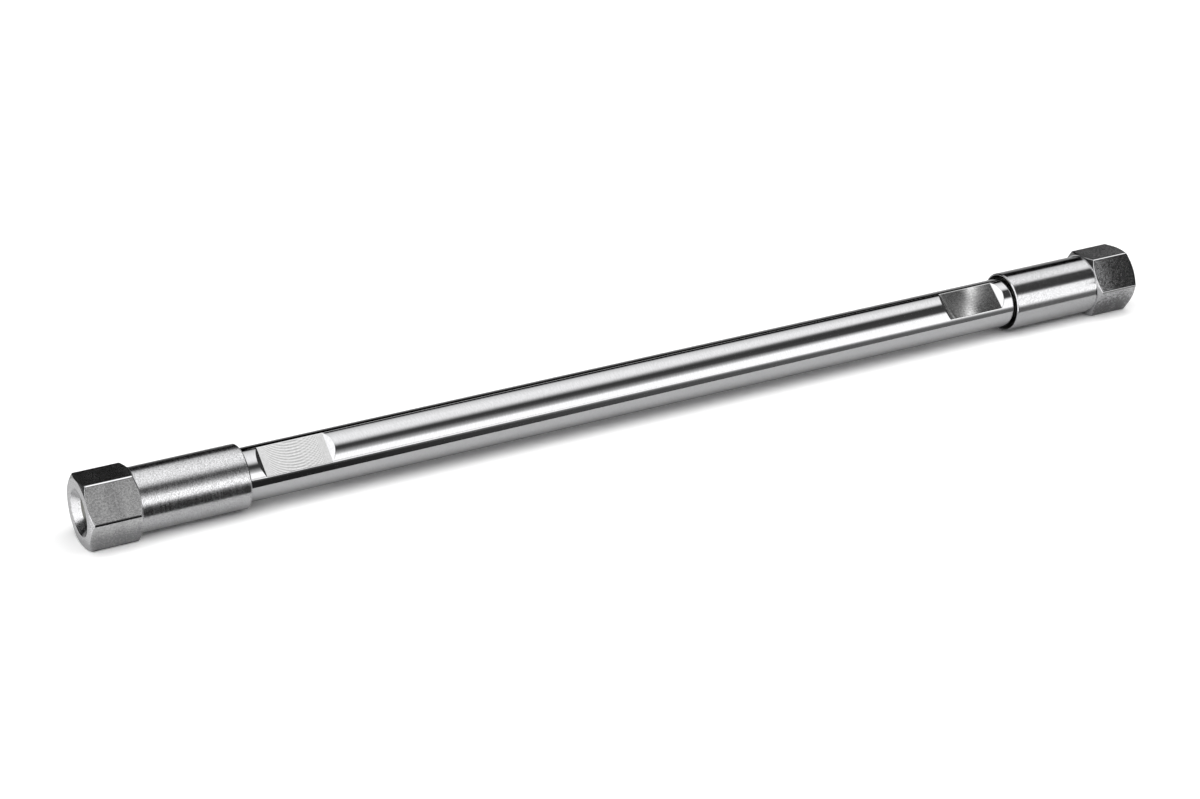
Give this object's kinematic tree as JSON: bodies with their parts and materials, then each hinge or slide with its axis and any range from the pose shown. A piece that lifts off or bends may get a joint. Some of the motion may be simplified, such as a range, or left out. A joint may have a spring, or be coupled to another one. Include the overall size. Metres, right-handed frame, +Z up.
{
  "type": "hplc column",
  "caption": "Packed stainless steel liquid chromatography column: a straight tube with wrench flats, closed at each end by a long-sleeved hexagon nut with a capillary port.",
  "frame": {"origin": "on the surface that the column lies on, under the middle of its length and of its width", "axes": "+X along the column from the inlet end to the outlet end, +Y away from the side that the picture shows, +Z up"},
  "size_m": [0.1824, 0.0116, 0.01],
  "materials": {
    "tube_steel": "polished",
    "nut_steel": "satin",
    "frit_steel": "matte",
    "seal_polymer": "satin",
    "packing": "matte"
  },
  "bodies": {
    "column": {"column_tube": "tube_steel", "packed_bed": "packing"},
    "inlet_seal": {"inlet_seal_ring": "seal_polymer", "inlet_frit": "frit_steel"},
    "inlet_nut": {"inlet_end_nut": "nut_steel"},
    "outlet_seal": {"outlet_seal_ring": "seal_polymer", "outlet_frit": "frit_steel"},
    "outlet_nut": {"outlet_end_nut": "nut_steel"}
  },
  "joints": [
    {"name": "inlet_nut_travel", "type": "slide", "parent": "column", "child": "inlet_seal", "axis": [-1, 0, 0], "range_m": [0, 0.0076]},
    {"name": "inlet_nut_turn", "type": "hinge", "parent": "inlet_seal", "child": "inlet_nut", "pos_m": [-0.0912, 0, 0.005], "axis": [-1, 0, 0], "range_deg": [0, 3600]},
    {"name": "outlet_nut_travel", "type": "slide", "parent": "column", "child": "outlet_seal", "axis": [1, 0, 0], "range_m": [0, 0.0076]},
    {"name": "outlet_nut_turn", "type": "hinge", "parent": "outlet_seal", "child": "outlet_nut", "pos_m": [0.0912, 0, 0.005], "axis": [1, 0, 0], "range_deg": [0, 3600]}
  ],
  "couplings": [
    {"joint": "inlet_nut_travel", "follows": "inlet_nut_turn", "m_per_rad": 0.00011937},
    {"joint": "outlet_nut_travel", "follows": "outlet_nut_turn", "m_per_rad": 0.00011937}
  ]
}
